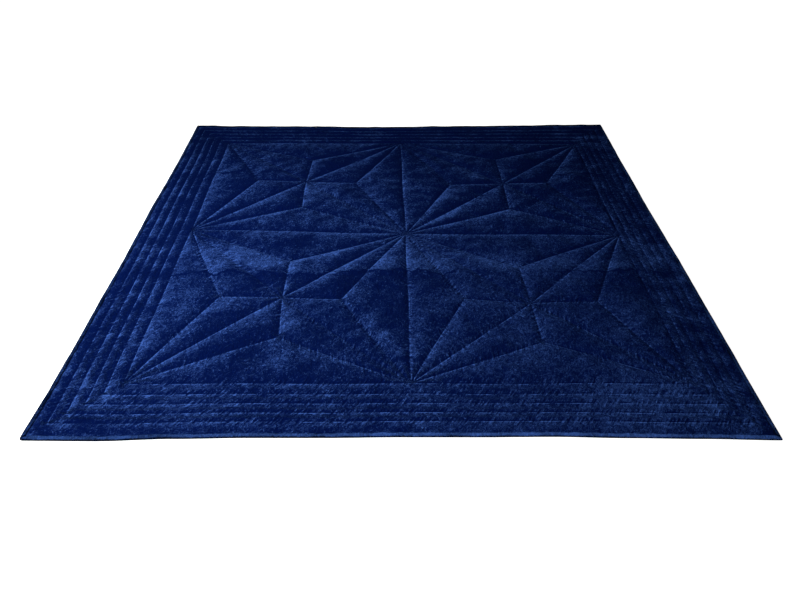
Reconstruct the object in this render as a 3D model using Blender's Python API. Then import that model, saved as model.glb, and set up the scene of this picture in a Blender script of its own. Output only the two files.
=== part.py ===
"""A square velvet quilt lying flat: one quilted body and the four strips that bind its edge.

Metres. X runs across, Y away from the near edge and Z up. The origin is on the floor under the middle.
"""

import math

import bmesh
import bpy
from mathutils import Vector

# The quilt's outline, 90 by 90 inches.
WIDTH = 2.29
LENGTH = 2.29

# The seams of the border, from the edge of the quilt inwards. The last one bounds the field of stars.
BORDER_SEAMS = (
    {"left": 0.054, "right": 0.050, "near": 0.066, "far": 0.065},
    {"left": 0.095, "right": 0.085, "near": 0.104, "far": 0.110},
    {"left": 0.137, "right": 0.121, "near": 0.145, "far": 0.155},
    {"left": 0.179, "right": 0.153, "near": 0.187, "far": 0.199},
    {"left": 0.228, "right": 0.186, "near": 0.236, "far": 0.245},
)
BORDER = BORDER_SEAMS[-1]
CHANNEL_WIDTH = 0.040

# The binding is a strip of doubled cloth, folded round the edge of the body.
BINDING_WIDTH = 0.016
BINDING_HEIGHT = 0.0086
BINDING_CLOTH = 0.0020
BINDING_ROUND = 0.0030
GAP = 0.0003

# The corners that each strip of binding runs between, as shares of the outline across and away.
BINDING_ENDS = {
    "near": ((0, 0), (1, 0)),
    "right": ((1, 0), (1, 1)),
    "far": ((1, 1), (0, 1)),
    "left": ((0, 1), (0, 0)),
}

# The body: its thickness where it is sewn through, and how much its filling lifts it between seams.
SEWN_THICKNESS = 0.0055
LOFT = 0.0105
SEAM_SPREAD = 0.017

# The field is two by two blocks with a star in each. A short point reaches part of the way to the side.
SHORT_POINT = 0.5
FIELD_CUTS = 10
CHANNEL_STEPS = 4

# How far the seams of the field were sewn from their true places, across and away, by row and column.
CROSSING_DRIFT = {
    "near": {"left": (0.010, 0.002), "middle": (0.013, 0.003), "right": (0.003, 0.004)},
    "middle": {"left": (0.006, 0.039), "middle": (0.004, 0.001), "right": (-0.012, -0.007)},
    "far": {"left": (-0.005, 0.000), "middle": (-0.016, -0.002), "right": (-0.012, -0.008)},
}

# The same for the middle and the four short points of each star, in millimetres.
STAR_DRIFT = {
    "near": {
        "left": {
            "middle": (-12, -6), "near": (7, -3), "right": (-22, -10), "far": (-7, 1), "left": (-17, -4),
        },
        "right": {
            "middle": (-2, -28), "near": (6, -22), "right": (20, -18), "far": (-8, -23), "left": (-18, 0),
        },
    },
    "far": {
        "left": {
            "middle": (-5, 10), "near": (-4, -14), "right": (6, 5), "far": (6, 18), "left": (-7, 21),
        },
        "right": {
            "middle": (24, 6), "near": (19, -11), "right": (5, 15), "far": (15, 34), "left": (0, -5),
        },
    },
}

# How far each edge lies inside the square, in millimetres, at every tenth of its length.
EDGE_INSET = {
    "left": (0, 7, 9, 8, 10, 7, 3, 6, 6, 3, 0),
    "right": (1, 1, 0, 0, 0, 2, 5, 3, 4, 1, 0),
    "near": (2, 0, 9, 13, 13, 16, 16, 18, 13, 10, 5),
    "far": (13, 22, 24, 25, 34, 33, 23, 19, 14, 3, 0),
}

# How far the seams wander from straight, and over what length.
WANDER = 0.0018
WANDER_LENGTH = 0.57

# The soft ridge left across the quilt where it was folded for storage. It dies out at both ends.
FOLD_PLACE = -0.286
FOLD_HEIGHT = 0.005
FOLD_SPREAD = 0.060

VELVET = (0.012, 0.027, 0.115, 1.0)
BINDING_VELVET = (0.020, 0.042, 0.150, 1.0)


class Rectangle:
    """An upright rectangle in plan, by its left, right, near and far sides."""

    def __init__(self, left, right, near, far):
        self.left, self.right, self.near, self.far = left, right, near, far

    def inset(self, left, right, near, far):
        return Rectangle(self.left + left, self.right - right, self.near + near, self.far - far)

    def toward(self, other, share):
        """The rectangle that lies this share of the way to another."""
        return Rectangle(
            self.left + (other.left - self.left) * share,
            self.right + (other.right - self.right) * share,
            self.near + (other.near - self.near) * share,
            self.far + (other.far - self.far) * share,
        )

    def share_of(self, point):
        """How far along the rectangle a point lies, from 0 to 1 across and away."""
        return (
            (point.x - self.left) / (self.right - self.left),
            (point.y - self.near) / (self.far - self.near),
        )

    def at(self, across, away):
        return Vector((
            self.left + across * (self.right - self.left),
            self.near + away * (self.far - self.near),
        ))


OUTLINE = Rectangle(-WIDTH / 2, WIDTH / 2, -LENGTH / 2, LENGTH / 2)
FIELD = OUTLINE.inset(**BORDER)


def around(depth):
    """The outline drawn in by one depth on all four sides."""
    return OUTLINE.inset(depth, depth, depth, depth)


# The edge of the body stands in the fold of the binding, and the binding is sewn down at its inner edge.
BODY_EDGE = around(BINDING_CLOTH + GAP)
BINDING_SEAM = around(BINDING_WIDTH + GAP)
EDGE_BOTTOM = BINDING_CLOTH + GAP
EDGE_TOP = BINDING_HEIGHT - BINDING_CLOTH - GAP


def clear_scene():
    for thing in list(bpy.data.objects):
        bpy.data.objects.remove(thing, do_unlink=True)


def make_material(name, colour, roughness):
    material = bpy.data.materials.new(name)
    material.use_nodes = True
    shader = material.node_tree.nodes["Principled BSDF"]
    shader.inputs["Base Color"].default_value = colour
    shader.inputs["Roughness"].default_value = roughness
    shader.inputs["Metallic"].default_value = 0.0
    return material


def add_object(name, bm, material, collection):
    mesh = bpy.data.meshes.new(name)
    bm.to_mesh(mesh)
    bm.free()
    mesh.materials.append(material)
    mesh.shade_smooth()
    mesh.set_sharp_from_angle(angle=math.radians(50))
    made = bpy.data.objects.new(name, mesh)
    collection.objects.link(made)
    return made


def between(drifts, share):
    """The drift at a share of the way along a start, a middle and an end."""
    start, middle, end = (Vector(drift) for drift in drifts)
    return start.lerp(middle, share * 2) if share < 0.5 else middle.lerp(end, share * 2 - 1)


def seam_drift(point):
    """How far the sewing has drifted at a point of the field, or at the nearest point of it."""
    across, away = (max(0.0, min(1.0, share)) for share in FIELD.share_of(point))
    rows = [between(row.values(), across) for row in CROSSING_DRIFT.values()]
    return between(rows, away)


def edge_inset(side, share):
    """How far an edge lies inside the square at a share of its length."""
    insets = EDGE_INSET[side]
    place = max(0.0, min(1.0, share)) * (len(insets) - 1)
    first = min(int(place), len(insets) - 2)
    part = place - first
    smooth = part * part * (3 - 2 * part)
    return 0.001 * (insets[first] + (insets[first + 1] - insets[first]) * smooth)


def settle(point):
    """Moves a point of the plan to where it lies on the finished quilt."""
    across, away = OUTLINE.share_of(point)
    reach = {
        "left": point.x - OUTLINE.left,
        "right": OUTLINE.right - point.x,
        "near": point.y - OUTLINE.near,
        "far": OUTLINE.far - point.y,
    }
    inward = {side: min(1.0, reach[side] / BORDER[side]) for side in BORDER}
    turn = 2 * math.pi / WANDER_LENGTH
    wander = Vector((math.sin(turn * point.y + 0.4), math.sin(turn * point.x + 1.1)))
    shift = (seam_drift(point) + WANDER * wander) * min(inward.values())
    shift.x += edge_inset("left", away) * (1 - inward["left"])
    shift.x -= edge_inset("right", away) * (1 - inward["right"])
    shift.y += edge_inset("near", across) * (1 - inward["near"])
    shift.y -= edge_inset("far", across) * (1 - inward["far"])
    return point + shift.to_3d()


def fold_ridge(point):
    """How far the old fold lifts the top at a point of the plan."""
    along_x = 1 - (point.x / OUTLINE.right) ** 2
    return FOLD_HEIGHT * along_x * math.exp(-((point.y - FOLD_PLACE) / FOLD_SPREAD) ** 2)


def star_seams(block, drift):
    """The seams of one block as pairs of points in plan."""
    corners = [block.at(0, 0), block.at(1, 0), block.at(1, 1), block.at(0, 1)]
    true_middle = block.at(0.5, 0.5)
    middle = true_middle + 0.001 * Vector(drift["middle"])
    seams = []
    for side, corner, following in zip(BINDING_ENDS, corners, corners[1:] + corners[:1]):
        point = true_middle.lerp((corner + following) / 2, SHORT_POINT) + 0.001 * Vector(drift[side])
        seams += [(corner, following), (corner, middle), (middle, point)]
        seams += [(corner, point), (following, point)]
    return seams


def field_seams():
    """Every seam of the field as pairs of points in plan."""
    seams = []
    for away, row in ((0, "near"), (0.5, "far")):
        for across, column in ((0, "left"), (0.5, "right")):
            low = FIELD.at(across, away)
            high = FIELD.at(across + 0.5, away + 0.5)
            seams += star_seams(Rectangle(low.x, high.x, low.y, high.y), STAR_DRIFT[row][column])
    return seams


def loft(distance):
    """The height of the top over the floor at this distance from the nearest seam."""
    return SEWN_THICKNESS + LOFT * (1 - math.exp(-distance / SEAM_SPREAD))


def distance_to_seams(point, seams):
    best = math.inf
    for start, end in seams:
        run = end - start
        share = max(0.0, min(1.0, (point - start).dot(run) / run.length_squared))
        best = min(best, (start + run * share - point).length)
    return best


def patchwork(seams):
    """A flat mesh with one filled patch between each three seams, each patch divided evenly."""
    bm = bmesh.new()
    for start, end in seams:
        bm.edges.new([bm.verts.new((*start, 0)), bm.verts.new((*end, 0))])
    bmesh.ops.remove_doubles(bm, verts=bm.verts, dist=0.0001)
    bmesh.ops.triangle_fill(bm, edges=bm.edges, use_beauty=False, normal=(0, 0, 1))
    bmesh.ops.subdivide_edges(bm, edges=bm.edges, cuts=FIELD_CUTS, use_grid_fill=True)
    return bm


def grow(bm, edges, inner, outer, height):
    """Extrudes a ring of edges on one rectangle out to another rectangle, at a new height."""
    made = bmesh.ops.extrude_edge_only(bm, edges=edges)["geom"]
    points = {part for part in made if isinstance(part, bmesh.types.BMVert)}
    for point in points:
        point.co = (*outer.at(*inner.share_of(point.co)), height)
    return [part for part in made if isinstance(part, bmesh.types.BMEdge) and points.issuperset(part.verts)]


def border_rings():
    """The rings of the body outside the field, from the inside out, each a rectangle and a height."""
    seams = [OUTLINE.inset(**row) for row in reversed(BORDER_SEAMS)] + [BINDING_SEAM]
    rings = []
    for inner, outer in zip(seams, seams[1:]):
        for step in range(1, CHANNEL_STEPS + 1):
            share = step / CHANNEL_STEPS
            rings.append((inner.toward(outer, share), loft(min(share, 1 - share) * CHANNEL_WIDTH)))
    rings[-1] = (BINDING_SEAM, EDGE_TOP)
    rings += [(BODY_EDGE, EDGE_TOP), (BODY_EDGE, EDGE_BOTTOM)]
    rings += [(BINDING_SEAM, EDGE_BOTTOM), (BINDING_SEAM, 0.0)]
    return rings


def make_body():
    """The filled body: stars raised in the field, channels round it, and a flat underside."""
    seams = field_seams()
    bm = patchwork(seams)
    for point in bm.verts:
        point.co.z = loft(distance_to_seams(point.co.xy, seams))
    edges = [edge for edge in bm.edges if edge.is_boundary]
    inner = FIELD
    for outer, height in border_rings():
        edges = grow(bm, edges, inner, outer, height)
        inner = outer
    bmesh.ops.holes_fill(bm, edges=edges, sides=0)
    bmesh.ops.recalc_face_normals(bm, faces=bm.faces)
    for point in bm.verts:
        point.co = settle(point.co)
        if point.co.z > SEWN_THICKNESS - GAP:
            point.co.z += fold_ridge(point.co)
    return bm


def binding_section():
    """The fold of the binding as depths in from the edge and heights, round the outside and back inside."""
    steps = 4
    outside = []
    for middle_height, start in ((BINDING_ROUND, 270), (BINDING_HEIGHT - BINDING_ROUND, 180)):
        for i in range(steps + 1):
            angle = math.radians(start - 90 * i / steps)
            depth = BINDING_ROUND + BINDING_ROUND * math.cos(angle)
            outside.append((depth, middle_height + BINDING_ROUND * math.sin(angle)))
    top_inside = BINDING_HEIGHT - BINDING_CLOTH
    return [
        (BINDING_WIDTH, 0.0),
        *outside,
        (BINDING_WIDTH, BINDING_HEIGHT),
        (BINDING_WIDTH, top_inside),
        (BINDING_CLOTH, top_inside),
        (BINDING_CLOTH, BINDING_CLOTH),
        (BINDING_WIDTH, BINDING_CLOTH),
    ]


def make_binding(start, end):
    """One strip of the binding, between two corners given as shares across and away."""
    bm = bmesh.new()
    steps = 2 * (FIELD_CUTS + 1)
    trim = (Vector(end) - Vector(start)).to_3d() * GAP
    loops = []
    for i in range(steps + 1):
        place = Vector(start).lerp(Vector(end), i / steps)
        shift = trim * ((i == 0) - (i == steps))
        points = []
        for depth, height in binding_section():
            point = around(depth).at(*place).to_3d() + shift
            point.z = height
            points.append(bm.verts.new(settle(point)))
        loops.append([bm.edges.new(pair) for pair in zip(points, points[1:] + points[:1])])
    for ring, following in zip(loops, loops[1:]):
        bmesh.ops.bridge_loops(bm, edges=ring + following)
    for ring in (loops[0], loops[-1]):
        bmesh.ops.contextual_create(bm, geom=ring)
    bmesh.ops.recalc_face_normals(bm, faces=bm.faces)
    return bm


def main():
    clear_scene()
    collection = bpy.data.collections.new("quilt")
    bpy.context.scene.collection.children.link(collection)
    velvet = make_material("velvet", VELVET, 0.75)
    binding_velvet = make_material("binding_velvet", BINDING_VELVET, 0.7)
    add_object("quilted_body", make_body(), velvet, collection)
    for side, (start, end) in BINDING_ENDS.items():
        add_object(f"binding_{side}", make_binding(start, end), binding_velvet, collection)


main()
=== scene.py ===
"""The looks of a square velvet quilt that lies flat on a pale floor.

The body and the four strips of its binding are made again as soft pieces over the CAD solids, with the
same plan: every seam, drift and drawn-in edge below has the value that it has in the part's source.
Metres. X runs across, Y away from the near edge and Z up. The origin is on the floor under the middle.
"""

import math

import bmesh
import bpy
import numpy as np
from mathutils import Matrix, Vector
from mathutils.geometry import delaunay_2d_cdt


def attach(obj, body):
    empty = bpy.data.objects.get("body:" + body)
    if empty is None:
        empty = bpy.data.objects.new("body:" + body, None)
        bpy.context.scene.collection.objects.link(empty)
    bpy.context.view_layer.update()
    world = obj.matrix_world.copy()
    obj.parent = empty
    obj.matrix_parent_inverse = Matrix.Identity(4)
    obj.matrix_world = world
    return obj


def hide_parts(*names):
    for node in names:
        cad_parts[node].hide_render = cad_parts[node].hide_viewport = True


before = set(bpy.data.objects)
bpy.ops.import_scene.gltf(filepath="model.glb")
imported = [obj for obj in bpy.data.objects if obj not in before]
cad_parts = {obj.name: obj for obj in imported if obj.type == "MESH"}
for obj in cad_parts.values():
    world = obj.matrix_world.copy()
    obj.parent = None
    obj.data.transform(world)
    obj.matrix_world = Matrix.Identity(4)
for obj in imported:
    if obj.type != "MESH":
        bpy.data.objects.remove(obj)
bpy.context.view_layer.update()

# The plan, as in the part's source

WIDTH = 2.29
LENGTH = 2.29
BORDER_SEAMS = (
    {"left": 0.054, "right": 0.050, "near": 0.066, "far": 0.065},
    {"left": 0.095, "right": 0.085, "near": 0.104, "far": 0.110},
    {"left": 0.137, "right": 0.121, "near": 0.145, "far": 0.155},
    {"left": 0.179, "right": 0.153, "near": 0.187, "far": 0.199},
    {"left": 0.228, "right": 0.186, "near": 0.236, "far": 0.245},
)
BORDER = BORDER_SEAMS[-1]
BINDING_WIDTH = 0.016
BINDING_HEIGHT = 0.0086
BINDING_CLOTH = 0.0020
BINDING_ENDS = {
    "near": ((0, 0), (1, 0)),
    "right": ((1, 0), (1, 1)),
    "far": ((1, 1), (0, 1)),
    "left": ((0, 1), (0, 0)),
}
GAP = 0.0003
SEWN_THICKNESS = 0.0055
LOFT = 0.0105
SHORT_POINT = 0.5

# How far the crossings stand from a regular grid, across and away: in metres here, in millimetres for stars.
CROSSING_DRIFT = {
    "near": {"left": (0.010, 0.002), "middle": (0.013, 0.003), "right": (0.003, 0.004)},
    "middle": {"left": (0.006, 0.039), "middle": (0.004, 0.001), "right": (-0.012, -0.007)},
    "far": {"left": (-0.005, 0.000), "middle": (-0.016, -0.002), "right": (-0.012, -0.008)},
}
STAR_DRIFT = {
    "near": {
        "left": {
            "middle": (-12, -6), "near": (7, -3), "right": (-22, -10), "far": (-7, 1), "left": (-17, -4),
        },
        "right": {
            "middle": (-2, -28), "near": (6, -22), "right": (20, -18), "far": (-8, -23), "left": (-18, 0),
        },
    },
    "far": {
        "left": {
            "middle": (-5, 10), "near": (-4, -14), "right": (6, 5), "far": (6, 18), "left": (-7, 21),
        },
        "right": {
            "middle": (24, 6), "near": (19, -11), "right": (5, 15), "far": (15, 34), "left": (0, -5),
        },
    },
}

# How far each edge lies inside the square, in millimetres, at every tenth of its length.
EDGE_INSET = {
    "left": (0, 7, 9, 8, 10, 7, 3, 6, 6, 3, 0),
    "right": (1, 1, 0, 0, 0, 2, 5, 3, 4, 1, 0),
    "near": (2, 0, 9, 13, 13, 16, 16, 18, 13, 10, 5),
    "far": (13, 22, 24, 25, 34, 33, 23, 19, 14, 3, 0),
}

# How far the seams wander from straight, over what length, and where the two waves start.
WANDER = 0.0018
WANDER_LENGTH = 0.57
WANDER_STARTS = (0.4, 1.1)

# Sizes that only the looks need

# How far each corner is rounded.
CORNER_ROUND = {
    ("left", "near"): 0.010,
    ("right", "near"): 0.002,
    ("right", "far"): 0.004,
    ("left", "far"): 0.008,
}

# How closely the top is divided: along the seams, beside them and in the open. Open points are pushed aside
# by a share of a step. All keep clear of the seams by so many times the distance beside them.
SEAM_STEP = 0.0070
BESIDE_SEAM = 0.0036
OPEN_STEP = 0.0105
OPEN_PUSH = 0.18
OPEN_SEED = 7
CLEAR_BESIDE = 0.9
CLEAR_OPEN = 1.9

# Points of the plan nearer than this are one point, and this near to the binding's seam they lie on it.
SAME_POINT = 1e-5
AT_BINDING = 1e-4

# Takes the place of zero as a divisor.
TINY = 1e-9

# The way that a seam's near or right side faces.
NEAR_OR_RIGHT = (0.45, -0.89)

# The filling rises in two ways: a tight roll right beside the stitches and a slow swell beyond it.
ROLL_SHARE = 0.09
ROLL_SPREAD = 0.0040
SWELL_SPREAD = 0.0360

# The cloth's small crumples: how much longer it is than the top it covers, its mass and stiffness, the push
# of the wadding, the frames for which it gives way and the steps in each, how often its moves are evened
# out, the share of them that is kept, the most of them, and how near to the stitches they fade.
CLOTH_EASE = 0.012
CLOTH_MASS = 0.25
CLOTH_TENSION = 20
CLOTH_SHEAR = 8
CLOTH_BENDING = 8
WADDING_PUSH = 0.15
CRUMPLE_FRAMES = 7
CRUMPLE_QUALITY = 4
CRUMPLE_EVENED = 3
CRUMPLE_SHARE = 0.4
MOST_MOVE = 0.0035
HELD_NEAR = 0.006

# Layers of unevenness: how strong each is, over what length it changes, and the seed of its draw. Each is a
# sum of waves, whose lengths lie between these shares of its own.
FILLING_LAYERS = ((0.14, 0.22, 11), (0.06, 0.09, 12))
TOP_LAYERS = ((0.0005, 0.12, 13), (0.0004, 0.055, 14))
CLOUD_LAYERS = ((0.05, 0.30, 21), (0.04, 0.12, 22))
CATCH_LAYERS = ((0.6, 0.035, 23), (0.55, 0.16, 24))
BORDER_LAYERS = ((0.8, 0.10, 25), (0.7, 0.28, 26))
CREST_WANDER = ((0.006, 0.09, 31),)
CREST_FRAY = ((0.004, 0.035, 32),)
WAVES = 14
WAVE_LENGTHS = (0.7, 1.5)

# The channels are filled more on some sides than on others.
CHANNEL_FILLING = {"left": 0.90, "right": 0.50, "near": 0.50, "far": 1.15}

# The crests of the two old folds: places along each, how high it stands there and how sharp its crease is.
FOLD_CRESTS = (
    (
        {"x": -1.14, "y": -0.300, "height": 0.001, "sharp": 0.2},
        {"x": -0.90, "y": -0.317, "height": 0.001, "sharp": 1.0},
        {"x": -0.84, "y": -0.297, "height": 0.002, "sharp": 1.2},
        {"x": -0.70, "y": -0.302, "height": 0.003, "sharp": 1.2},
        {"x": -0.60, "y": -0.304, "height": 0.004, "sharp": 1.2},
        {"x": -0.45, "y": -0.312, "height": 0.005, "sharp": 0.7},
        {"x": -0.30, "y": -0.312, "height": 0.003, "sharp": 0.3},
        {"x": -0.10, "y": -0.287, "height": 0.006, "sharp": 0.8},
        {"x": 0.08, "y": -0.290, "height": 0.006, "sharp": 0.9},
        {"x": 0.17, "y": -0.308, "height": 0.005, "sharp": 0.9},
        {"x": 0.26, "y": -0.280, "height": 0.003, "sharp": 0.4},
        {"x": 0.40, "y": -0.290, "height": 0.001, "sharp": 0.1},
        {"x": 0.58, "y": -0.290, "height": 0.001, "sharp": 0.1},
        {"x": 0.67, "y": -0.290, "height": 0.004, "sharp": 0.7},
        {"x": 0.85, "y": -0.285, "height": 0.006, "sharp": 0.9},
        {"x": 1.00, "y": -0.285, "height": 0.004, "sharp": 0.5},
        {"x": 1.14, "y": -0.285, "height": 0.001, "sharp": 0.1},
    ),
    (
        {"x": -1.00, "y": 0.530, "height": 0.0005, "sharp": 0.2},
        {"x": -0.88, "y": 0.545, "height": 0.0025, "sharp": 0.8},
        {"x": -0.80, "y": 0.560, "height": 0.0025, "sharp": 0.8},
        {"x": -0.70, "y": 0.530, "height": 0.0025, "sharp": 0.8},
        {"x": -0.60, "y": 0.580, "height": 0.0025, "sharp": 0.8},
        {"x": -0.50, "y": 0.560, "height": 0.0005, "sharp": 0.2},
        {"x": 0.65, "y": 0.520, "height": 0.0005, "sharp": 0.2},
        {"x": 0.80, "y": 0.530, "height": 0.003, "sharp": 1.0},
        {"x": 0.95, "y": 0.540, "height": 0.0025, "sharp": 0.8},
        {"x": 1.05, "y": 0.540, "height": 0.0005, "sharp": 0.2},
    ),
)

# How far the cloth slopes beyond a crest and before it, half the crease's width, and its farthest reach.
SLOPE_BEYOND = 0.060
SLOPE_BEFORE = 0.016
CREASE_WIDTH = 0.008
FOLD_REACH = 0.1

# The section of the binding as depths and heights: the middle of its round outside, its crown, its shoulder,
# whose depth is counted back from the hem, and its hem. Then how finely it is divided, round and along, and
# from what angle an edge is sharp.
BINDING_MIDDLE = (0.0055, 0.0046)
BINDING_CROWN = (0.0115, 0.0090)
HEM_SHOULDER = (0.0015, 0.0082)
HEM_HEIGHT = 0.0074
BINDING_ROUND_STEPS = 10
BINDING_LENGTH_STEPS = 240
BINDING_SHARP = math.radians(50)

# Layers of how the binding swells, its hem wanders and its pile differs. Each strip draws its own.
BINDING_SWELL = ((0.06, 0.11, 40),)
HEM_WANDER = ((0.0007, 0.07, 50),)
BINDING_PILE = ((0.07, 0.16, 60),)

# The camera, fitted to the corners and seams in the photo for a square quilt, which is a judgement.
CAMERA_PLACE = (-0.0108, -2.4526, 1.5740)
CAMERA_TILT = 51.945
CAMERA_TURN = 0.038
CAMERA_LENS = 30.29
CAMERA_SENSOR = 36

# The ways from which the painted highlight and shade fall, left and right, and the places between which they
# blend: from the far left like the key light, and on the right more from the far, like the sheen.
PAINTED_LIGHT_LEFT = (-0.72, 0.69)
PAINTED_LIGHT_RIGHT = (-0.30, 0.95)
PAINTED_LIGHT_BETWEEN = (-0.5, 0.5)

# How far the pale colour shows: everywhere, and by each cause. Cloth and crush are painted highlight and
# shade by how the slopes face the painted light's way, the crease is a painted shadow along each old fold,
# and beside each seam one line is a painted highlight and the other painted shade. The marks are partly
# painted light; clouds, tufts, crinkles and puckers are the crushed velvet's own uneven tone.
SHOWN = {
    "level": 0.42,
    "cloth": 1.5,
    "crush": 0.5,
    "tone_and_painted_light": 0.56,
    "clouds": 0.50,
    "tufts": 1.30,
    "crinkles": 0.55,
    "seams": 0.62,
    "painted_seam_shade": -0.50,
    "crease": -0.80,
    "puckers": 2.6,
}

# What the painted highlight and shade by the cloth's slope, and the grain of the pile, are multiplied by on
# the left and right of each half, and the places between which they blend.
PAINTED_SLOPE_LIGHT = {"near": (0.72, 0.20), "far": (1.06, 1.00)}
GRAIN_SHOWS = {"near": (0.96, 0.76), "far": (1.04, 1.04)}
QUARTERS_ACROSS = (-0.1, 0.3)
QUARTERS_AWAY = (-0.25, 0.10)

# What the border adds on each side, and over what distance it sets in.
BORDER_SHOWS = {
    "left": {"level": -0.13, "clouds": 0.12},
    "right": {"level": -0.06, "clouds": 0.10},
    "near": {"level": 0.01, "clouds": 0.03},
    "far": {"level": -0.07, "clouds": 0.10},
}
BORDER_BLEND = 0.04

# Painted highlight and shade on each strip of the binding: how pale it is where it faces down, out, half up
# and up, and how much paler for each metre to the right. It is darker below and outside, and the near strip
# is the palest. BINDING_UPWARD is how far up those four face.
BINDING_PAINTED_LIGHT = {
    "near": {"below": -0.60, "outside": -0.35, "shoulder": 0.16, "top": 0.40, "rightward": 0.18},
    "right": {"below": -0.60, "outside": -0.60, "shoulder": -0.60, "top": 0.06, "rightward": 0.0},
    "far": {"below": -0.60, "outside": -0.60, "shoulder": -0.60, "top": -0.30, "rightward": 0.0},
    "left": {"below": -0.60, "outside": -0.60, "shoulder": -0.60, "top": 0.06, "rightward": 0.0},
}
BINDING_UPWARD = (-0.5, 0.3, 0.8, 0.98)
BINDING_GRAIN = 0.45

# Beside each seam, a painted highlight line and on its other side a painted shade line: how far from the
# stitches each lies, with half the width of each line, then how strongly on the mean and at least.
SEAM_LINES = {
    "seams": {"place": 0.0026, "wide": 0.0026},
    "painted_seam_shade": {"place": -0.0022, "wide": 0.0030},
}
CATCH_MEAN = 0.65
LEAST_CATCH = 0.25

# Where the offset is less than the distance by this much, no line shows.
OTHER_SEAM = 0.001

# How many times each pattern repeats in a metre: clouds of crush 25 mm apart with detail down to 2 mm, tufts
# 10 mm wide, crinkles 17 mm apart, and puckers 12 mm apart along a seam and 62 mm across it. Real tufts are
# under 1 mm and wouldn't show, so they are drawn coarser.
CRUSH_SCALE = 40.0
TUFT_SCALE = 100.0
CRINKLE_SCALE = 60.0
PUCKER_SCALE = (85.0, 16.0, 1.0)

# Half the width of a crinkle in the range of its noise, the values of the tufts between which crinkles set
# in, and the slant and reach of the puckers.
CRINKLE_WIDTH = 0.05
CRINKLES_BETWEEN = (0.42, 0.62)
PUCKER_SLANT = 0.6
PUCKER_REACH = 0.024

# A range that falls from 1 to 0.
FADES = {"To Min": 1.0, "To Max": 0.0}

# How high each pattern stands, in metres.
RELIEF = {"crush": 0.0090, "tufts": 0.0040, "puckers": 0.0110, "crease": -0.0010}

# The velvets: each one's tips and share of sheen, then the pale colour and the sheen colour of both. The
# binding's tips are darker than the body's, as painted shade of its outer side and of the shadow under it.
# The pale colour is the crushed velvet's lighter tone, and also its painted highlight and sheen.
VELVETS = {
    "crushed_velvet": {"tips": "041347", "sheen": 0.04},
    "binding_velvet": {"tips": "02081E", "sheen": 0.06},
}
PALE_PILE_AND_PAINTED_SHEEN = "446BC1"
SHEEN = "619EFF"

# The lights: where each stands and shines, its size, and its power in watts.
LIGHTS = {
    "key": {"place": (-1.5, -0.2, 1.4), "target": (0.1, -0.2, 0.0), "size": (0.9, 0.7), "power": 30},
    "fill": {"place": (-1.0, -2.4, 1.5), "target": (0.0, -0.4, 0.0), "size": (1.2, 0.8), "power": 36},
}
ROOM_LIGHT = 0.03
FLOOR_SIZE = 60
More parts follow.
